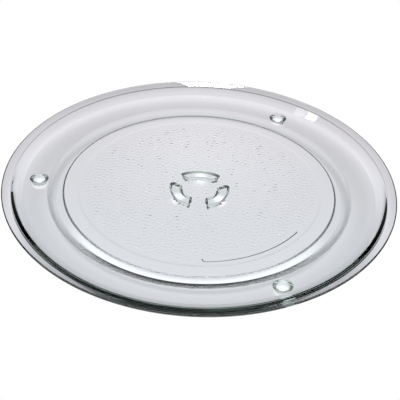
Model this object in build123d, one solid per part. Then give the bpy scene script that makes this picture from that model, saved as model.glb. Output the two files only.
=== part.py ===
from build123d import *
from math import atan2, hypot, tan
import os

# A pressed glass turntable plate. It turns about Z and its feet stand on z = 0. All sizes in mm.

# Plate and roller track. Radial sizes follow one another outwards from the track.
glass_thickness = 5.5
track_outer_radius = 112.2
track_width = 12.3
track_recess = 0.25

# Guide rib, which keeps the roller wheels on the track.
rib_height = 1.8
rib_inner_run = 1.7
rib_crest_width = 5.6
rib_outer_run = 6.3
rib_inner_chamfer = 0.5
rib_outer_rounding = 2.0
rib_flank_rounding = 3.5

# Flat outer annulus and raised rim. Its underside sweeps up in one long rounding, then the lip flares out.
annulus_width = 22.9
rim_height = 5.5
rim_wall_run = 10.5
rim_wall_rise = 4.0
rim_wall_rounding = 8.0
rim_underside_run = 7.0
rim_rounding_share = 0.9
lip_width = 6.5
lip_edge = 2.2
lip_edge_chamfer = 0.6
lip_inner_rounding = 3.0
lip_underside_run = 6.8
lip_underside_rise = 2.5
lip_underside_rounding = 3.0

# Feet, on the annulus just outside the rib.
foot_count = 3
foot_first_angle = 60.0
foot_rib_gap = 0.8
foot_height = 7.0
foot_root_diameter = 15.8
foot_face_diameter = 4.4
foot_face_chamfer = 0.9
foot_root_flare = 0.5

# Drive lugs, which take the three arms of the motor's coupler between them.
lug_count = 3
lug_first_slot_angle = 30.0
lug_outer_radius = 24.8
lug_wall = 9.8
lug_slot_width = 12.0
lug_floor_clearance = 0.8
lug_draft_angle = 7.0
lug_corner_rounding = 2.2
lug_face_chamfer = 1.1
lug_root_chamfer = 0.8

# Bare label pad, an arc inside the track.
pad_track_gap = 4.2
pad_width = 6.1
pad_height = 0.5
pad_edge_chamfer = 0.25
pad_middle_angle = -59.1
pad_span_angle = 50.4

# Derived levels.
underside = foot_height
top = underside + glass_thickness
rim_top = top + rim_height
track_level = underside + track_recess
rib_crest = underside - rib_height
lip_underside_level = rim_top - lip_edge - lip_underside_rise
lug_height = foot_height - lug_floor_clearance
overlap = glass_thickness / 2

# Derived radii.
track_inner_radius = track_outer_radius - track_width
rib_crest_inner_radius = track_outer_radius + rib_inner_run
rib_crest_outer_radius = rib_crest_inner_radius + rib_crest_width
rib_outer_radius = rib_crest_outer_radius + rib_outer_run
rim_underside_radius = rib_outer_radius + annulus_width
lip_underside_radius = rim_underside_radius + rim_underside_run
plate_radius = lip_underside_radius + lip_underside_run
lip_inner_radius = plate_radius - lip_width
rim_wall_radius = lip_inner_radius - rim_wall_run
foot_root_radius = foot_root_diameter / 2
foot_circle_radius = rib_outer_radius + foot_rib_gap + foot_root_radius
lug_inner_radius = lug_outer_radius - lug_wall
pad_middle_radius = track_inner_radius - pad_track_gap - pad_width / 2

# The rim's underside rounding takes its named share of the sloping face.
rim_underside_rise = lip_underside_level - underside
rim_underside_angle = atan2(rim_underside_rise, rim_underside_run)
rim_underside_slope = hypot(rim_underside_rise, rim_underside_run)
rim_underside_rounding = rim_rounding_share * rim_underside_slope / tan(rim_underside_angle / 2)


def turned(corners):
    """A solid turned about Z from (radius, height, rounding) corners of its half section."""
    outline = Polyline(*[(radius, 0, height) for radius, height, _ in corners], close=True)
    section = make_face(outline)
    for radius, height, rounding in corners:
        if rounding > 0:
            corner = section.vertices().sort_by_distance((radius, 0, height))[0]
            section = fillet(corner, rounding)
    return revolve(section, Axis.Z)


def pressed_plate():
    """Plate, rim, rib and track in one section: along the top, round the lip, back underneath."""
    return turned([
        (0, top, 0),
        (rim_wall_radius, top, rim_wall_rounding),
        (lip_inner_radius, top + rim_wall_rise, lip_inner_rounding),
        (plate_radius - lip_edge_chamfer, rim_top, 0),
        (plate_radius, rim_top - lip_edge_chamfer, 0),
        (plate_radius, rim_top - lip_edge + lip_edge_chamfer, 0),
        (plate_radius - lip_edge_chamfer, rim_top - lip_edge, 0),
        (lip_underside_radius, lip_underside_level, lip_underside_rounding),
        (rim_underside_radius, underside, rim_underside_rounding),
        (rib_outer_radius, underside, rib_flank_rounding),
        (rib_crest_outer_radius, rib_crest, rib_outer_rounding),
        (rib_crest_inner_radius + rib_inner_chamfer, rib_crest, 0),
        (rib_crest_inner_radius - rib_inner_chamfer / 2, rib_crest + rib_inner_chamfer, 0),
        (track_outer_radius, track_level, 0),
        (track_inner_radius + track_recess, track_level, 0),
        (track_inner_radius, underside, 0),
        (0, underside, 0),
    ])


def foot():
    """A drafted stud with a flared root and a small flat face to stand on."""
    face_radius = foot_face_diameter / 2
    return turned([
        (0, underside + overlap, 0),
        (foot_root_radius + overlap, underside + overlap, 0),
        (foot_root_radius - foot_root_flare, underside - foot_root_flare, 0),
        (face_radius + foot_face_chamfer, foot_face_chamfer, 0),
        (face_radius, 0, 0),
        (0, 0, 0),
    ])


def lug_ring():
    """A ring cut into thirds by parallel slots, drafted downwards and chamfered at its face."""
    ring = Circle(lug_outer_radius) - Circle(lug_inner_radius)
    slot = Rectangle(2 * lug_outer_radius, lug_slot_width, align=(Align.MIN, Align.CENTER))
    outline = ring - PolarLocations(0, lug_count, lug_first_slot_angle) * slot
    outline = Pos(0, 0, underside) * fillet(outline.vertices(), lug_corner_rounding)
    lugs = extrude(outline, amount=-lug_height, taper=lug_draft_angle)
    face_edges = lugs.faces().filter_by(Plane.XY).group_by(Axis.Z)[0].edges()
    return chamfer(face_edges, lug_face_chamfer) + extrude(outline, amount=overlap)


def label_pad():
    """A low arc with round ends and a chamfered face."""
    first_angle = pad_middle_angle - pad_span_angle / 2
    outline = SlotArc(CenterArc((0, 0), pad_middle_radius, first_angle, pad_span_angle), pad_width)
    pad = extrude(Pos(0, 0, underside + overlap) * outline, amount=-(overlap + pad_height))
    return chamfer(pad.faces().sort_by(Axis.Z)[0].edges(), pad_edge_chamfer)


feet = PolarLocations(foot_circle_radius, foot_count, foot_first_angle) * foot()
glass_plate = pressed_plate() + feet + lug_ring() + label_pad()

# The lugs meet the underside in a chamfered root.
underside_edges = glass_plate.edges().filter_by_position(Axis.Z, underside - 0.01, underside + 0.01)
lug_root = underside_edges.filter_by(
    lambda edge: edge.distance_to((0, 0, underside)) < lug_outer_radius + lug_root_chamfer
)
glass_plate = chamfer(lug_root, lug_root_chamfer)

os.makedirs("parts", exist_ok=True)
export_step(glass_plate, "parts/glass_plate.step")
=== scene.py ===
"""Pressed glass turntable plate: the dressed model, its studio and its camera."""
import logging
import math
from collections.abc import Callable, Sequence
from dataclasses import dataclass, field
from enum import Enum

import bmesh
import bpy
import numpy as np
from mathutils import Matrix, Vector
from mathutils.geometry import delaunay_2d_cdt


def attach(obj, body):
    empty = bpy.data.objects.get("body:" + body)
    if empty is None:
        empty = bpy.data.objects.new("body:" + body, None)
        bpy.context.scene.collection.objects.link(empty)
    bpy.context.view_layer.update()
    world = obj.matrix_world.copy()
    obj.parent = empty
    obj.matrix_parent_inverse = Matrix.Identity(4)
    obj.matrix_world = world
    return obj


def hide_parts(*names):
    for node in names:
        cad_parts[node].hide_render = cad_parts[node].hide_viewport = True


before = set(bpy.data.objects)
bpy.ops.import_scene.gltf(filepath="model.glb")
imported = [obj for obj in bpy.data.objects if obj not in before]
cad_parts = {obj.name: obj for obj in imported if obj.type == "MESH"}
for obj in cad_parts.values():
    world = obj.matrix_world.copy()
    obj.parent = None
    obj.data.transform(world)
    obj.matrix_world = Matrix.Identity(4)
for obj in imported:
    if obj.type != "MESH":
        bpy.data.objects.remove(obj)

log = logging.getLogger("turntable_plate")
logging.basicConfig(level=logging.INFO, format="%(name)s: %(message)s")

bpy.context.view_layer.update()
MM = 0.001

# The photograph's frame, the camera's sensor, and how often light may bounce inside the glass.
IMAGE_PIXELS = 400
SENSOR_MM = 36.0
GLASS_BOUNCES = 32

# The sharpest rounding of a section in mm, the least straight run that gets extra points, counted in guards,
# how many places are tested in one go, the triangulation's tolerance in mm and the weld's in metres.
SHARPEST = 0.02
GUARDS_IN_A_RUN = 4
PLACES_AT_ONCE = 2000
TRIANGLE_TOLERANCE = 1e-7
WELD = 2e-6

SMOOTH = {"interpolation_type": "SMOOTHSTEP"}


def linear(hex_colour: str) -> tuple[float, float, float, float]:
    """Turns an sRGB hex colour into linear RGBA by the sRGB standard's curve.

    Args:
        hex_colour: Six hex digits after a hash sign.

    Returns:
        Linear red, green and blue with alpha 1.
    """
    srgb = np.array([int(hex_colour[i:i + 2], 16) for i in (1, 3, 5)]) / 255
    rgb = np.where(srgb <= 0.04045, srgb / 12.92, ((srgb + 0.055) / 1.055) ** 2.4)
    return (*map(float, rgb), 1.0)


def add_node(tree: bpy.types.NodeTree, kind: str, inputs: dict | None = None, settings: dict | None = None,
             **values: object) -> bpy.types.Node:
    """Adds a shader node.

    Args:
        tree: The node tree that gets the node.
        kind: The node's type without its ShaderNode prefix.
        inputs: Input name or number to the output socket that feeds it, or to a constant.
        settings: Node properties by name.
        values: Constants by input name, with underscores for spaces.

    Returns:
        The new node.
    """
    node = tree.nodes.new("ShaderNode" + kind)
    for name, value in (settings or {}).items():
        setattr(node, name, value)
    named = {name.replace("_", " "): value for name, value in values.items()}
    for name, value in {**named, **(inputs or {})}.items():
        if isinstance(value, bpy.types.NodeSocket):
            tree.links.new(value, node.inputs[name])
        else:
            node.inputs[name].default_value = value
    return node


def polar(radius: float, angle: float) -> tuple[float, float]:
    """A point at a radius and an angle in degrees: the radius times the angle's cosine and sine."""
    return radius * math.cos(math.radians(angle)), radius * math.sin(math.radians(angle))


class Bend(Enum):
    """Which way an arc of an outline bends, seen from inside the outline."""

    OUTWARD = 1
    INWARD = -1


@dataclass(frozen=True)
class Corner:
    """A corner of a section: its distance out, its height and its rounding, in mm."""

    out: float
    height: float
    rounding: float = 0.0


@dataclass(frozen=True)
class Arc:
    """An arc of a closed outline: its centre, radius and angles, in mm and degrees."""

    centre: tuple[float, float]
    radius: float
    start: float
    end: float
    points: int
    bend: Bend = Bend.OUTWARD

    def offset(self, distance: float) -> np.ndarray:
        """Points of the arc, moved outwards from the outline.

        Each point is the centre plus the changed radius along its angle.

        Args:
            distance: How far the arc is moved, in mm.

        Returns:
            The points in mm.
        """
        angle = np.radians(np.linspace(self.start, self.end, self.points))
        radius = self.radius + self.bend.value * distance
        return np.array(self.centre) + radius * np.stack([np.cos(angle), np.sin(angle)], -1)


@dataclass
class Patch:
    """A piece of the glass skin: vertices in mm, faces and how satin each vertex is."""

    vertices: np.ndarray
    faces: np.ndarray
    satin: np.ndarray


def rounded_section(corners: Sequence[Corner], step: float = 6.0, guard: float = 0.12) -> np.ndarray:
    """Joins straight runs by tangent arcs.

    An arc's centre lies on the corner's bisector, at the radius over the sine of half the corner's angle.
    Each straight run also gets a point near either end, so that shading stays flat between them.

    Args:
        corners: The section's corners in order.
        step: Degrees between points on an arc.
        guard: Distance of the extra points from a run's ends, in mm.

    Returns:
        An array of (out, height) points in mm.
    """
    places = np.array([(corner.out, corner.height) for corner in corners])
    pieces = [places[:1]]
    for index in range(1, len(corners) - 1):
        before, here, after = places[index - 1:index + 2]
        back = (before - here) / np.linalg.norm(before - here)
        onward = (after - here) / np.linalg.norm(after - here)
        half = 0.5 * math.acos(float(np.clip(back @ onward, -1, 1)))
        radius = max(corners[index].rounding, SHARPEST)
        first = here + back * radius / math.tan(half)
        centre = here + (back + onward) / np.linalg.norm(back + onward) * radius / math.sin(half)
        begin = math.atan2(*(first - centre)[::-1])
        sweep = math.pi - 2 * half
        turn = sweep * np.sign(np.cross(here - before, after - here))
        count = max(3, int(math.degrees(sweep) / step) + 2)
        angle = begin + np.linspace(0, turn, count)
        pieces.append(centre + radius * np.stack([np.cos(angle), np.sin(angle)], -1))
    pieces.append(places[-1:])
    guarded = pieces[:1]
    for piece, following in zip(pieces, pieces[1:]):
        run = following[0] - piece[-1]
        length = np.linalg.norm(run)
        if length > GUARDS_IN_A_RUN * guard:
            guarded.append(piece[-1:] + run * guard / length)
            guarded.append(following[:1] - run * guard / length)
        guarded.append(following)
    return np.concatenate(guarded)


def grid_faces(rows: int, columns: int) -> np.ndarray:
    """Quads of a grid whose rows close into a loop.

    Args:
        rows: Number of rows, the last of which joins the first.
        columns: Number of points in a row.

    Returns:
        Four vertex numbers a face, for vertices numbered row by row.
    """
    row, column = np.meshgrid(np.arange(rows), np.arange(columns - 1), indexing="ij")
    onward = (row + 1) % rows
    corners = [row * columns + column, row * columns + column + 1,
               onward * columns + column + 1, onward * columns + column]
    return np.stack(corners, -1).reshape(-1, 4)


def carried(loops: np.ndarray, satin: np.ndarray) -> Patch:
    """A skin from a section carried round a closed path.

    Args:
        loops: Points as rows round the path by places along the section, in mm.
        satin: How satin the skin is at each place along the section.

    Returns:
        The skin as a patch.
    """
    rows, columns = loops.shape[:2]
    return Patch(loops.reshape(-1, 3), grid_faces(rows, columns), np.tile(satin, rows))


def within(places: np.ndarray, loops: Sequence[np.ndarray], gap: float = 0.0) -> np.ndarray:
    """Tells which places lie between loops.

    A place counts where a ray from it crosses the loops an odd number of times and no point of a loop is
    nearer than the gap.

    Args:
        places: Points to test, in mm.
        loops: Points of each closed loop.
        gap: Least distance from the loops' points.

    Returns:
        True for each place between the loops.
    """
    low = np.concatenate(loops)
    high = np.concatenate([np.roll(loop, -1, axis=0) for loop in loops])
    parts = []
    for part in np.array_split(places, len(places) // PLACES_AT_ONCE + 1):
        x, y = part[:, :1], part[:, 1:]
        spans = (low[:, 1] > y) != (high[:, 1] > y)
        rise = np.where(spans, high[:, 1] - low[:, 1], 1)
        crossing = low[:, 0] + (y - low[:, 1]) / rise * (high[:, 0] - low[:, 0])
        odd = (spans & (crossing > x)).sum(axis=1) % 2 == 1
        parts.append(odd & (np.hypot(low[:, 0] - x, low[:, 1] - y).min(axis=1) >= gap))
    return np.concatenate(parts)


@dataclass(frozen=True)
class Pebbles:
    """The mould's pebbled texture under the middle of the plate. Sizes in mm."""

    spacing: float = 1.1
    jitter: float = 0.3
    lengths: tuple[float, float] = (2.2, 4.4)
    depth: float = 0.09
    waves: int = 40
    fade: float = 8.0
    satin: float = 0.3
    seed: int = 7

    def places(self, reach: float) -> np.ndarray:
        """Points of a triangular grid within a circle, each moved a little at random.

        Every other row of the grid is moved by half a step.

        Args:
            reach: The circle's radius.

        Returns:
            The points, in mm.
        """
        rise = self.spacing * math.sqrt(0.75)
        count = int(reach / rise) + 1
        column, row = np.meshgrid(np.arange(-count, count + 1), np.arange(-count, count + 1))
        grid = np.stack([(column + row % 2 / 2) * self.spacing, row * rise], -1).reshape(-1, 2)
        grid += np.random.default_rng(self.seed).uniform(-self.jitter, self.jitter, grid.shape)
        return grid[np.hypot(*grid.T) < reach]

    def heights(self, places: np.ndarray, reach: float) -> np.ndarray:
        """Height of the pebbles.

        It is a sum of cosine waves whose directions, lengths and phases are drawn at random. The sum is
        scaled to the depth and fades out towards the circle.

        Args:
            places: Points in mm.
            reach: Radius of the circle.

        Returns:
            Heights in mm above or below the level skin.
        """
        draw = np.random.default_rng(self.seed)
        turn, phase = draw.uniform(0, 2 * np.pi, (2, self.waves))
        length = draw.uniform(*self.lengths, self.waves)
        along = places @ np.stack([np.cos(turn), np.sin(turn)])
        total = np.cos(2 * np.pi * along / length + phase).sum(axis=1)
        fade = np.clip((reach - np.hypot(*places.T)) / self.fade, 0, 1)
        return self.depth * math.sqrt(2 / self.waves) * total * fade


def flat_patch(outer: np.ndarray, holes: Sequence[np.ndarray], level: Callable[[np.ndarray], np.ndarray],
               satin: float, pebbles: Pebbles | None = None) -> Patch:
    """A skin between loops, as a constrained Delaunay triangulation.

    Args:
        outer: Points of the outer loop, in mm.
        holes: Points of each loop inside it.
        level: Gives the skin's height in mm at distances from the axis.
        satin: How satin the skin is at its loops.
        pebbles: Texture that the skin carries between its loops.

    Returns:
        The skin as a patch.
    """
    loops = [outer, *holes]
    starts = np.cumsum([0] + [len(loop) for loop in loops])
    ends = np.concatenate([np.roll(np.arange(a, b), -1) for a, b in zip(starts, starts[1:])])
    edges = np.stack([np.arange(len(ends)), ends], -1)
    points = np.concatenate(loops)
    heights = level(np.hypot(*points.T))
    grain = np.full(len(points), satin)
    if pebbles is not None:
        reach = float(np.hypot(*outer.T).max())
        places = pebbles.places(reach)
        places = places[within(places, loops, pebbles.spacing / 2)]
        points = np.concatenate([points, places])
        heights = np.concatenate([heights, level(np.hypot(*places.T)) + pebbles.heights(places, reach)])
        grain = np.concatenate([grain, np.full(len(places), pebbles.satin)])
    coordinates = [Vector(point) for point in points.tolist()]
    _, _, triangles, sources, *_ = delaunay_2d_cdt(coordinates, edges.tolist(), [], 0, TRIANGLE_TOLERANCE)
    triangles = np.array([source[0] for source in sources])[np.array(triangles)]
    triangles = triangles[within(points[triangles].mean(axis=1), loops)]
    return Patch(np.column_stack([points, heights]), triangles, grain)


@dataclass
class PressedBody:
    """The plate, its rim, guide rib and roller track: one section turned about the axis.

    Sizes are in mm and angles in degrees. Runs and widths are measured outwards, and the lip's step by its
    two distances inside the lip's inner radius.
    """

    radius: float = 162.5
    underside: float = 7.0
    glass_thickness: float = 5.5
    segments: int = 384

    track_outer: float = 112.2
    track_width: float = 12.3
    track_recess: float = 0.25
    track_edge: tuple[float, float] = (1.9, -0.1)
    track_edge_roundings: tuple[float, float] = (0.8, 0.6)
    track_guide_rounding: float = 0.1

    rib_height: float = 1.8
    rib_inner_run: float = 1.2
    rib_crest_width: float = 6.1
    rib_outer_run: float = 6.3
    rib_inner_rounding: float = 0.25
    rib_outer_rounding: float = 2.0
    rib_flank_rounding: float = 3.5

    rim_height: float = 5.5
    rim_wall_angle: float = 20.0
    rim_wall_run: float = 10.5
    rim_wall_rounding: float = 2.5
    rim_underside_angle: float = 46.0
    rim_underside_rounding: float = 18.0

    lip_width: float = 6.5
    lip_edge: float = 2.2
    lip_edge_share: float = 0.49
    lip_step: float = 0.45
    lip_step_insets: tuple[float, float] = (1.1, 0.6)
    lip_step_rounding: float = 0.25
    lip_underside_run: float = 6.8
    lip_underside_angle: float = 20.0
    lip_underside_rounding: float = 3.0

    annulus_outer: float = 142.8
    annulus_margin: float = 0.5
    annulus_edge_gap: float = 0.05
    disc_margin: float = 0.6

    annulus_satin: float = 0.4
    flank_satin: float = 2.0
    flank_satin_start: float = 1.0
    guide_satin: float = 6.0
    guide_satin_margin: float = 0.1

    @property
    def top(self) -> float:
        """Level of the flat top."""
        return self.underside + self.glass_thickness

    @property
    def rim_top(self) -> float:
        """Level of the lip's highest corner, before it is rounded."""
        return self.top + self.rim_height

    @property
    def track_inner(self) -> float:
        """Radius where the roller track meets the pebbled disc."""
        return self.track_outer - self.track_width

    @property
    def crest_outer(self) -> float:
        """Radius where the rib's crest meets its outer flank."""
        return self.track_outer + self.rib_inner_run + self.rib_crest_width

    @property
    def rib_outer(self) -> float:
        """Radius where the rib's outer flank meets the annulus."""
        return self.track_outer + (self.rib_inner_run + self.rib_crest_width + self.rib_outer_run)

    @property
    def lip_turn(self) -> float:
        """Level where the lip's underside turns down into the rim's."""
        drop = self.lip_underside_run * math.tan(math.radians(self.lip_underside_angle))
        return self.rim_top - self.lip_edge - drop

    @property
    def rim_underside(self) -> float:
        """Radius where the annulus turns up into the rim."""
        run = (self.lip_turn - self.underside) / math.tan(math.radians(self.rim_underside_angle))
        return self.radius - self.lip_underside_run - run

    @property
    def annulus(self) -> tuple[float, float]:
        """Inner and outer radius of the skin that carries the feet."""
        return self.rib_outer + self.annulus_margin, self.annulus_outer

    @property
    def disc(self) -> float:
        """Radius of the skin that carries the pebbles, the lugs and the pad."""
        return self.track_inner - self.disc_margin

    def level(self, radius: np.ndarray) -> np.ndarray:
        """Height of the underside, apart from the rib and the track.

        It is flat up to where the rim's rounding starts. From there it follows the rounding's circle: its
        radius less the root of that radius squared less the distance gone squared.

        Args:
            radius: Distances from the axis in mm.

        Returns:
            Heights in mm.
        """
        bend = self.rim_underside_rounding
        start = self.rim_underside - bend * math.tan(math.radians(self.rim_underside_angle / 2))
        gone = np.clip(radius - start, 0.0, bend)
        return self.underside + bend - np.sqrt(bend ** 2 - gone ** 2)

    def circle(self, radius: float) -> np.ndarray:
        """Points of a circle about the axis: radius times cosine and sine of evenly spaced angles."""
        angle = np.linspace(0, 2 * np.pi, self.segments, endpoint=False)
        return radius * np.stack([np.cos(angle), np.sin(angle)], -1)

    def turned(self, section: np.ndarray, satin: np.ndarray) -> Patch:
        """Turns a section about the axis.

        Each section point (out, height) goes to out times cosine, out times sine and height.

        Args:
            section: Points as (out, height) in mm.
            satin: How satin the skin is at each point.

        Returns:
            The turned skin.
        """
        loops = np.empty((self.segments, len(section), 3))
        loops[..., :2] = self.circle(1.0)[:, None] * section[None, :, :1]
        loops[..., 2] = section[:, 1]
        return carried(loops, satin)

    def upper_section(self) -> np.ndarray:
        """From the middle of the top over the lip to the outer edge of the annulus.

        Each of the two roundings of the lip's nose takes its share of the lip's edge: the share times the
        tangent of half the corner's angle is the rounding's radius.

        Returns:
            Points as (out, height) in mm.
        """
        lip_inner = self.radius - self.lip_width
        step_foot, step_head = self.lip_step_insets
        wall_top = self.top + (self.rim_wall_run - step_foot) * math.tan(math.radians(self.rim_wall_angle))
        lip_slope = math.atan2(self.rim_top - wall_top - self.lip_step, self.lip_width + step_head)
        share = self.lip_edge_share * self.lip_edge
        nose_above = share / math.tan(math.pi / 4 + lip_slope / 2)
        nose_below = share / math.tan(math.pi / 4 - math.radians(self.lip_underside_angle / 2))
        section = rounded_section([
            Corner(0.0, self.top),
            Corner(lip_inner - self.rim_wall_run, self.top, self.rim_wall_rounding),
            Corner(lip_inner - step_foot, wall_top, self.lip_step_rounding),
            Corner(lip_inner - step_head, wall_top + self.lip_step, self.lip_step_rounding),
            Corner(self.radius, self.rim_top, nose_above),
            Corner(self.radius, self.rim_top - self.lip_edge, nose_below),
            Corner(self.radius - self.lip_underside_run, self.lip_turn, self.lip_underside_rounding),
            Corner(self.rim_underside, self.underside, self.rim_underside_rounding),
            Corner(self.rib_outer, self.underside),
        ])
        edge = self.annulus_outer
        under = (section[:, 1] < self.top) & (section[:, 0] < edge + self.annulus_edge_gap)
        return np.vstack([section[~under], (edge, float(self.level(np.array(edge))))])

    def rib_section(self) -> np.ndarray:
        """From the inner edge of the annulus over the guide rib and the track to the pebbled disc.

        Returns:
            Points as (out, height) in mm.
        """
        crest = self.underside - self.rib_height
        track = self.underside + self.track_recess
        edge_start, edge_end = self.track_edge
        start_rounding, end_rounding = self.track_edge_roundings
        return rounded_section([
            Corner(self.annulus[0], self.underside),
            Corner(self.rib_outer, self.underside, self.rib_flank_rounding),
            Corner(self.crest_outer, crest, self.rib_outer_rounding),
            Corner(self.track_outer + self.rib_inner_run, crest, self.rib_inner_rounding),
            Corner(self.track_outer, track, self.track_guide_rounding),
            Corner(self.track_inner + edge_start, track, start_rounding),
            Corner(self.track_inner + edge_end, self.underside, end_rounding),
            Corner(self.disc, self.underside),
        ])

    def patches(self) -> list[Patch]:
        """The two turned skins, satin on the rib's flank, on its steep inner wall and beside the annulus.

        Returns:
            The skin above and round the lip, and the skin of the rib and the track.
        """
        upper, rib = self.upper_section(), self.rib_section()
        half_run = self.rib_inner_run / 2
        inner_wall = np.abs(rib[:, 0] - self.track_outer - half_run) < half_run + self.guide_satin_margin
        rib_satin = np.where(rib[:, 0] > self.crest_outer + self.flank_satin_start, self.flank_satin, 0.0)
        rib_satin[inner_wall] = self.guide_satin
        rib_satin[0] = self.annulus_satin
        upper_satin = np.zeros(len(upper))
        upper_satin[-1] = self.annulus_satin
        return [self.turned(upper, upper_satin), self.turned(rib, rib_satin)]


@dataclass
class Feature:
    """Something raised from the underside: a wall profile carried round an outline, closed by a flat face.

    A point at place s on the outline and t on the profile is the outline moved outwards by the profile's
    distance at t, at the profile's height at t.
    """

    outline: list[Arc]
    profile: list[Corner]
    level: Callable[[np.ndarray], np.ndarray]
    edge_satin: float = 0.0
    arc_step: float = 9.0
    run_guard: float = 0.08

    def loop(self, distance: float) -> np.ndarray:
        """The outline moved outwards by a distance, in mm."""
        return np.concatenate([arc.offset(distance) for arc in self.outline])

    @property
    def root(self) -> np.ndarray:
        """The loop where the wall starts on the underside."""
        return self.loop(self.profile[0].out)

    def patches(self) -> list[Patch]:
        """The wall and the flat face that closes it.

        The wall's heights are stretched so that its root follows the underside where that rises to the rim.

        Returns:
            The two skins.
        """
        section = rounded_section(self.profile, self.arc_step, self.run_guard)
        loops = np.stack([self.loop(distance) for distance in section[:, 0]], 1)
        root, face = section[0, 1], section[-1, 1]
        lift = self.level(np.linalg.norm(loops, axis=-1)) - root
        heights = section[:, 1] * (1 + lift / root)
        satin = np.zeros(len(section))
        satin[0] = self.edge_satin
        wall = carried(np.concatenate([loops, heights[..., None]], -1), satin)
        return [wall, flat_patch(loops[:, -1], [], lambda radius: np.full(len(radius), face), 0.0)]


@dataclass
class Feet:
    """Low studs on the annulus that the plate stands on off the oven. Sizes in mm.

    The corners of a stud are measured from its root circle, outwards, and from the ground.
    """

    body: PressedBody
    count: int = 3
    first_angle: float = 60.0
    rib_gap: float = 0.8
    root_diameter: float = 15.8
    root_margin: float = 0.25
    root_inset: float = -0.5
    root_rounding: float = 1.0
    flank: Corner = Corner(-2.6, 1.2, 2.0)
    face_edge: Corner = Corner(-5.2, 0.0, 1.5)
    face: Corner = Corner(-7.0, 0.0)
    points: int = 96

    def features(self) -> list[Feature]:
        """One stud for each place on the foot circle.

        Returns:
            The studs.
        """
        root = self.root_diameter / 2
        circle = self.body.rib_outer + self.rib_gap + root
        profile = [
            Corner(self.root_margin, self.body.underside),
            Corner(self.root_inset, self.body.underside, self.root_rounding),
            self.flank,
            self.face_edge,
            self.face,
        ]
        angles = [self.first_angle + 360 / self.count * number for number in range(self.count)]
        last = 360 - 360 / self.points
        outlines = [[Arc(polar(circle, angle), root, 0.0, last, self.points)] for angle in angles]
        return [Feature(outline, profile, self.body.level, self.body.annulus_satin) for outline in outlines]


@dataclass
class DriveLugs:
    """A ring cut into thirds by parallel slots, which the arms of a drive coupler go into. Sizes in mm."""

    body: PressedBody
    count: int = 3
    first_slot: float = 30.0
    outer: float = 24.8
    wall: float = 9.8
    slot_width: float = 12.0
    corner: float = 2.6
    clearance: float = 0.8
    draft: float = 12.0
    root_margin: float = 0.95
    root_rounding: float = 0.9
    face_margin: float = 1.2
    face_rounding: float = 1.4
    outer_points: int = 60
    inner_points: int = 32
    corner_points: int = 14

    def outline(self, slot: float) -> list[Arc]:
        """One lug's outline, from the slot at its start to the next slot.

        A corner's centre lies its own radius from the slot's side and from the ring's outer or inner
        circle, so the sine of its angle from the slot is its distance across over its distance out.

        Args:
            slot: Angle of the slot before the lug, in degrees.

        Returns:
            Arcs counter-clockwise, with straight sides between them.
        """
        inner = self.outer - self.wall
        across = self.slot_width / 2 + self.corner
        far = self.outer - self.corner
        near = inner + self.corner
        lean_far = math.degrees(math.asin(across / far))
        lean_near = math.degrees(math.asin(across / near))
        after = slot + 360 / self.count
        turns = [
            (polar(far, after - lean_far), after - lean_far, after + 90),
            (polar(near, after - lean_near), after + 90, after + 180 - lean_near),
            (polar(near, slot + lean_near), slot + 180 + lean_near, slot + 270),
            (polar(far, slot + lean_far), slot + 270, slot + 360 + lean_far),
        ]
        corners = [Arc(centre, self.corner, start, end, self.corner_points) for centre, start, end in turns]
        outside = Arc((0, 0), self.outer, slot + lean_far, after - lean_far, self.outer_points)
        inside = Arc((0, 0), inner, after - lean_near, slot + lean_near, self.inner_points, Bend.INWARD)
        return [outside, *corners[:2], inside, *corners[2:]]

    def features(self) -> list[Feature]:
        """One lug after each slot.

        Returns:
            The lugs.
        """
        height = self.body.underside - self.clearance
        inset = height * math.tan(math.radians(self.draft))
        profile = [
            Corner(self.root_margin, self.body.underside),
            Corner(0.0, self.body.underside, self.root_rounding),
            Corner(-inset, self.clearance, self.face_rounding),
            Corner(-inset - self.face_margin, self.clearance),
        ]
        slots = [self.first_slot + 360 / self.count * number for number in range(self.count)]
        return [Feature(self.outline(slot), profile, self.body.level) for slot in slots]


@dataclass
class LabelPad:
    """A bare arc-shaped pad inside the roller track, with round ends. Sizes in mm, angles in degrees.

    Its edge slopes from its foot to its head, which are measured outwards from the outline.
    """

    body: PressedBody
    track_gap: float = 4.2
    width: float = 6.1
    height: float = 0.5
    middle: float = -59.1
    span: float = 50.4
    root_margin: float = 0.5
    edge_foot: float = 0.2
    edge_head: float = -0.7
    edge_rounding: float = 0.25
    face_margin: float = -1.1
    side_points: int = 80
    end_points: int = 20

    def features(self) -> list[Feature]:
        """The pad as one feature.

        Returns:
            A list with the pad.
        """
        half = self.width / 2
        centre_line = self.body.track_inner - self.track_gap - half
        start, end = self.middle - self.span / 2, self.middle + self.span / 2
        outline = [
            Arc((0, 0), centre_line + half, start, end, self.side_points),
            Arc(polar(centre_line, end), half, end, end + 180, self.end_points),
            Arc((0, 0), centre_line - half, end, start, self.side_points, Bend.INWARD),
            Arc(polar(centre_line, start), half, start + 180, start + 360, self.end_points),
        ]
        level = self.body.underside
        profile = [
            Corner(self.root_margin, level),
            Corner(self.edge_foot, level, self.edge_rounding),
            Corner(self.edge_head, level - self.height, self.edge_rounding),
            Corner(self.face_margin, level - self.height),
        ]
        return [Feature(outline, profile, self.body.level)]


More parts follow.
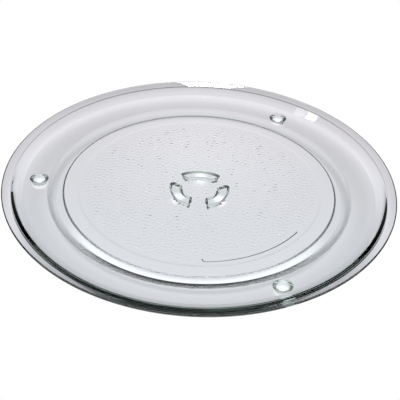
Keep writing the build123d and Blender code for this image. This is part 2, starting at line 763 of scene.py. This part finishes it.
@dataclass(frozen=True)
class PressedGlass:
    """Soda-lime glass, pressed in a mould and fire polished: clear face on, green down its length.

    Skin that the mould left satin has a fine grain, which softens the view through it. Such a grain is finer
    than the render can show, so it is drawn as coarse as it needs to be.
    """

    name: str = "pressed_soda_lime_glass"
    ior: float = 1.52
    roughness: float = 0.0
    absorption_tint: str = "#bad3c9"
    absorption_per_metre: float = 24.0
    grain_mm: float = 0.8
    grain_depth_mm: float = 0.14

    def material(self) -> bpy.types.Material:
        """Builds the glass with its satin grain and its absorption.

        Returns:
            The material.
        """
        material = bpy.data.materials.new(self.name)
        material.use_nodes = True
        tree = material.node_tree
        tree.nodes.clear()
        place = add_node(tree, "TexCoord").outputs["Object"]
        mask = add_node(tree, "Attribute", settings={"attribute_name": "satin"}).outputs["Fac"]
        grains = add_node(tree, "TexNoise", {"Vector": place}, Scale=1 / (self.grain_mm * MM), Detail=1.0)
        height = add_node(tree, "Math", {0: grains.outputs["Fac"], 1: mask}, {"operation": "MULTIPLY"})
        bump = add_node(tree, "Bump", {"Height": height.outputs[0]}, Strength=1.0,
                        Distance=self.grain_depth_mm * MM)
        surface = add_node(tree, "BsdfPrincipled", {"Normal": bump.outputs[0]}, Transmission_Weight=1.0,
                           IOR=self.ior, Roughness=self.roughness, Base_Color=(1, 1, 1, 1))
        depth = add_node(tree, "VolumeAbsorption", Color=linear(self.absorption_tint),
                         Density=self.absorption_per_metre)
        add_node(tree, "OutputMaterial", {"Surface": surface.outputs[0], "Volume": depth.outputs[0]})
        return material


@dataclass
class TurntablePlate:
    """The whole plate: one closed skin of glass that stands for the solid."""

    body: PressedBody = field(default_factory=PressedBody)
    finish: PressedGlass = field(default_factory=PressedGlass)
    pebbles: Pebbles = field(default_factory=Pebbles)
    name: str = "turntable_glass"

    def patches(self) -> list[Patch]:
        """All skins of the plate, with the flat ones cut out round what is raised from them.

        Returns:
            The skins, whose edges meet.
        """
        feet = Feet(self.body).features()
        middle = DriveLugs(self.body).features() + LabelPad(self.body).features()
        annulus_inner, annulus_outer = map(self.body.circle, self.body.annulus)
        disc = self.body.circle(self.body.disc)
        patches = self.body.patches()
        patches.append(flat_patch(annulus_outer, [annulus_inner, *[foot.root for foot in feet]],
                                  self.body.level, self.body.annulus_satin))
        patches.append(flat_patch(disc, [feature.root for feature in middle],
                                  self.body.level, 0.0, self.pebbles))
        for feature in feet + middle:
            patches += feature.patches()
        return patches

    def build(self) -> bpy.types.Object:
        """Joins the skins into one mesh, welds their edges and turns the faces outwards.

        Returns:
            The plate's object, at the origin.
        """
        patches = self.patches()
        starts = np.cumsum([0] + [len(patch.vertices) for patch in patches])
        faces = [face for patch, start in zip(patches, starts) for face in (patch.faces + start).tolist()]
        mesh = bpy.data.meshes.new(self.name)
        mesh.from_pydata((np.concatenate([patch.vertices for patch in patches]) * MM).tolist(), [], faces)
        satin = mesh.attributes.new("satin", "FLOAT", "POINT")
        satin.data.foreach_set("value", np.concatenate([patch.satin for patch in patches]))
        skin = bmesh.new()
        skin.from_mesh(mesh)
        bmesh.ops.remove_doubles(skin, verts=skin.verts, dist=WELD)
        bmesh.ops.recalc_face_normals(skin, faces=skin.faces)
        open_edges = sum(not edge.is_manifold for edge in skin.edges)
        log.info("%s: %d faces, %d open edges", self.name, len(skin.faces), open_edges)
        skin.to_mesh(mesh)
        skin.free()
        mesh.shade_smooth()
        plate = bpy.data.objects.new(self.name, mesh)
        bpy.context.scene.collection.objects.link(plate)
        return plate

    def dress(self, plate: bpy.types.Object) -> None:
        """Gives the plate its glass and its place in the frame.

        Args:
            plate: The plate's object.
        """
        plate.data.materials.append(self.finish.material())
        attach(plate, "root")
        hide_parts("glass_plate")


@dataclass(frozen=True)
class FloorRing:
    """A soft ring of painted light on the floor, painted shade where its level is below 0, or a spot where
    its radius is 0. Sizes in metres.
    """

    radius: float
    half_width: float
    level: float
    centre: tuple[float, float, float] = (0.0, 0.0, 0.0)
    front_only: bool = False


def three_spots(circle: float, first_angle: float, half_width: float, level: float) -> tuple[FloorRing, ...]:
    """Three spots of painted light a third of a turn apart.

    Args:
        circle: Radius of the circle that they lie on, in metres.
        first_angle: Angle of the first, in degrees.
        half_width: Each spot's radius, in metres.
        level: Painted light that each adds.

    Returns:
        The spots.
    """
    centres = [polar(circle, first_angle + turn) for turn in (0, 120, 240)]
    return tuple(FloorRing(0.0, half_width, level, (*centre, 0.0)) for centre in centres)


@dataclass(frozen=True)
class Softbox:
    """A flat lamp that faces the plate. Sizes in metres, power in watts."""

    name: str
    place: tuple[float, float, float]
    size: tuple[float, float]
    watts: float

    def build(self) -> None:
        """Adds the lamp, with its back turned straight away from the origin."""
        data = bpy.data.lights.new(self.name, "AREA")
        data.shape = "RECTANGLE"
        data.size, data.size_y = self.size
        data.energy = self.watts
        lamp = bpy.data.objects.new(self.name, data)
        bpy.context.scene.collection.objects.link(lamp)
        aim = Vector(self.place).to_track_quat("Z", "Y").to_matrix().to_4x4()
        lamp.matrix_world = Matrix.Translation(Vector(self.place)) @ aim


@dataclass
class Studio:
    """A pale floor under a dome of light that is bright overhead and dark near the horizon. Sizes in metres.

    Through the glass the floor shows a painted pool of light, bright under the plate and dark beyond its
    edge.
    Its rings and spots are painted light and shade, which stand in for the light and shade that the rib, the
    rim, the lugs and the feet would gather there.
    """

    floor_half_width: float = 6.0
    floor_level: float = -0.0003
    floor_colour: str = "#e6e6e6"

    # Painted light on the floor that the glass sees: bright under the plate, dark beyond its edge, faintly
    # blue in front and faintly lavender behind.
    pool_bright: float = 0.82
    pool_dark: float = 0.1
    pool_from: float = 0.150
    pool_to: float = 0.215
    pool_tint: str = "#f7f8ff"
    pool_tint_behind: str = "#f8f4fb"
    tint_from: float = -0.06
    tint_to: float = 0.10
    front_from: float = -0.09
    front_to: float = -0.04
    # Painted light and shade: a ring of light at the rib in front only, rings of shade at the rib's outer
    # flank and across the annulus, a ring of light under the rim's wall, spots of light under the lugs, a
    # broad spot of light towards the back, and spots of light under the feet.
    rings: tuple[FloorRing, ...] = (
        FloorRing(0.1125, 0.006, 0.42, front_only=True),
        FloorRing(0.1215, 0.004, -0.18),
        FloorRing(0.1370, 0.016, -0.11),
        FloorRing(0.1540, 0.008, 0.12),
        *three_spots(0.0199, 90.0, 0.008, 0.65),
        FloorRing(0.0, 0.14, 0.12, (0.0, 0.08, 0.0)),
        *three_spots(0.1344, 60.0, 0.008, 0.80),
    )

    dome_dark: float = 0.008
    dome_bright: float = 1.28
    dome_axis: tuple[float, float, float] = (0.0, 0.05, 1.0)
    dome_from: float = 0.35
    dome_to: float = 0.9

    lamps: tuple[Softbox, ...] = (
        Softbox("back_softbox", (-0.023, 0.965, 1.2), (0.011, 0.05), 0.035),
        Softbox("small_softbox", (-0.204, 0.725, 1.12), (0.02, 0.036), 0.018),
        Softbox("dim_softbox", (-0.186, 0.685, 1.12), (0.02, 0.034), 0.006),
    )

    def pool(self, tree: bpy.types.NodeTree) -> bpy.types.Node:
        """The painted pool of light and shade that shows through the glass.

        Its painted light falls from bright to dark with the distance from the axis. Each ring adds its own
        level, light or shade by its sign, where the distance from its centre equals its radius, and less to
        either side, down to nothing at its half width. A ring in front only is also faded out towards the
        back. The painted light's tint runs from front to back.

        Args:
            tree: The floor's node tree.

        Returns:
            An emission node.
        """
        place = add_node(tree, "TexCoord").outputs["Object"]
        behind = add_node(tree, "SeparateXYZ", {0: place}).outputs["Y"]
        reach = add_node(tree, "VectorMath", {0: place}, {"operation": "LENGTH"}).outputs["Value"]
        pool = add_node(tree, "MapRange", {"Value": reach}, SMOOTH, From_Min=self.pool_from,
                        From_Max=self.pool_to, To_Min=self.pool_bright, To_Max=self.pool_dark)
        front = add_node(tree, "MapRange", {"Value": behind}, SMOOTH, From_Min=self.front_from,
                         From_Max=self.front_to, To_Min=1.0, To_Max=0.0)
        level = pool.outputs[0]
        for ring in self.rings:
            away = add_node(tree, "VectorMath", {0: place, 1: ring.centre}, {"operation": "DISTANCE"})
            off = add_node(tree, "Math", {0: away.outputs["Value"], 1: ring.radius},
                           {"operation": "SUBTRACT"})
            off = add_node(tree, "Math", {0: off.outputs[0]}, {"operation": "ABSOLUTE"})
            glow = add_node(tree, "MapRange", {"Value": off.outputs[0]}, SMOOTH, From_Min=0.0,
                            From_Max=ring.half_width, To_Min=ring.level, To_Max=0.0)
            gate = front.outputs[0] if ring.front_only else 1.0
            total = add_node(tree, "Math", {0: glow.outputs[0], 1: gate, 2: level},
                             {"operation": "MULTIPLY_ADD"})
            level = total.outputs[0]
        share = add_node(tree, "MapRange", {"Value": behind}, From_Min=self.tint_from, From_Max=self.tint_to)
        # A colour Mix has its factor at input 0, its colours at inputs 6 and 7 and its result at output 2.
        tints = {6: linear(self.pool_tint), 7: linear(self.pool_tint_behind)}
        tint = add_node(tree, "Mix", {0: share.outputs[0], **tints}, {"data_type": "RGBA"})
        return add_node(tree, "Emission", {"Strength": level, "Color": tint.outputs[2]})

    def paper(self) -> bpy.types.Material:
        """Matt painted paper, which the camera sees as white and the glass sees as a painted pool of light
        and shade.

        Returns:
            The material.
        """
        material = bpy.data.materials.new("paper_with_painted_light_pool")
        material.use_nodes = True
        tree = material.node_tree
        tree.nodes.clear()
        path = add_node(tree, "LightPath").outputs
        paper = add_node(tree, "BsdfDiffuse", Color=linear(self.floor_colour))
        white = add_node(tree, "Emission", Strength=1.0)
        pool = self.pool(tree)
        # Rays that pass through the glass or reflect off it see the painted pool of light and shade instead
        # of the paper.
        glass = add_node(tree, "Math", {0: path["Is Transmission Ray"], 1: path["Is Glossy Ray"]},
                         {"operation": "MAXIMUM"})
        through = add_node(tree, "MixShader", {0: glass.outputs[0], 1: paper.outputs[0], 2: pool.outputs[0]})
        seen = add_node(tree, "MixShader",
                        {0: path["Is Camera Ray"], 1: through.outputs[0], 2: white.outputs[0]})
        add_node(tree, "OutputMaterial", {"Surface": seen.outputs[0]})
        return material

    def floor(self) -> None:
        """Lays a flat square floor just under the plate's feet."""
        mesh = bpy.data.meshes.new("studio_floor")
        signs = np.array([(-1, -1), (1, -1), (1, 1), (-1, 1)])
        corners = np.column_stack([signs * self.floor_half_width, np.full(len(signs), self.floor_level)])
        mesh.from_pydata(corners.tolist(), [], [(0, 1, 2, 3)])
        mesh.materials.append(self.paper())
        floor = bpy.data.objects.new("studio_floor", mesh)
        bpy.context.scene.collection.objects.link(floor)

    def world(self) -> None:
        """A dome whose light runs from dark to bright with a direction's share along an axis.

        The camera itself sees it as white.
        """
        world = bpy.data.worlds.new("studio_dome")
        bpy.context.scene.world = world
        world.use_nodes = True
        tree = world.node_tree
        tree.nodes.clear()
        direction = add_node(tree, "TexCoord").outputs["Generated"]
        axis = Vector(self.dome_axis).normalized()
        share = add_node(tree, "VectorMath", {0: direction, 1: axis}, {"operation": "DOT_PRODUCT"})
        level = add_node(tree, "MapRange", {"Value": share.outputs["Value"]}, SMOOTH,
                         From_Min=self.dome_from, From_Max=self.dome_to,
                         To_Min=self.dome_dark, To_Max=self.dome_bright)
        path = add_node(tree, "LightPath").outputs
        # A number Mix has its factor at input 0 and its values at inputs 2 and 3.
        seen = add_node(tree, "Mix", {0: path["Is Camera Ray"], 2: level.outputs[0], 3: 1.0},
                        {"data_type": "FLOAT"})
        dome = add_node(tree, "Background", {"Strength": seen.outputs[0]}, Color=(1, 1, 1, 1))
        add_node(tree, "OutputWorld", {"Surface": dome.outputs[0]})

    def build(self) -> None:
        """Builds the floor, the dome and the lamps."""
        self.floor()
        self.world()
        for lamp in self.lamps:
            lamp.build()


@dataclass(frozen=True)
class StudioCamera:
    """A camera fitted to the photograph's view. Pixel values are in its frame of 400 by 400."""

    elevation: float = 36.0
    azimuth: float = 1.3
    distance_mm: float = 810.0
    focal_pixels: float = 970.0
    roll: float = 2.56
    centre_pixel: tuple[float, float] = (199.6, 187.1)
    target_height_mm: float = 10.0

    def build(self) -> None:
        """Places the camera on its sphere round the plate's axis, rolled, with a small lens shift."""
        data = bpy.data.cameras.new("studio_camera")
        camera = bpy.data.objects.new("studio_camera", data)
        bpy.context.scene.collection.objects.link(camera)
        rise, turn = math.radians(self.elevation), math.radians(self.azimuth)
        back = Vector((math.sin(turn) * math.cos(rise), -math.cos(turn) * math.cos(rise), math.sin(rise)))
        look = (-back).to_track_quat("-Z", "Y").to_matrix().to_4x4()
        place = Vector((0, 0, self.target_height_mm * MM)) + back * self.distance_mm * MM
        rolled = Matrix.Rotation(math.radians(self.roll), 4, "Z")
        camera.matrix_world = Matrix.Translation(place) @ look @ rolled
        data.sensor_width = SENSOR_MM
        data.lens = self.focal_pixels * SENSOR_MM / IMAGE_PIXELS
        half = IMAGE_PIXELS / 2
        data.shift_x = (half - self.centre_pixel[0]) / IMAGE_PIXELS
        data.shift_y = (self.centre_pixel[1] - half) / IMAGE_PIXELS
        bpy.context.scene.camera = camera


def main() -> None:
    """Builds the plate, the studio and the camera."""
    plate = TurntablePlate()
    piece = plate.build()
    plate.dress(piece)
    log.info("%s dressed", piece.name)
    Studio().build()
    StudioCamera().build()
    scene = bpy.context.scene
    scene.view_settings.view_transform = "Standard"
    scene.cycles.max_bounces = GLASS_BOUNCES
    scene.cycles.transmission_bounces = GLASS_BOUNCES


if __name__ == "__main__":
    main()
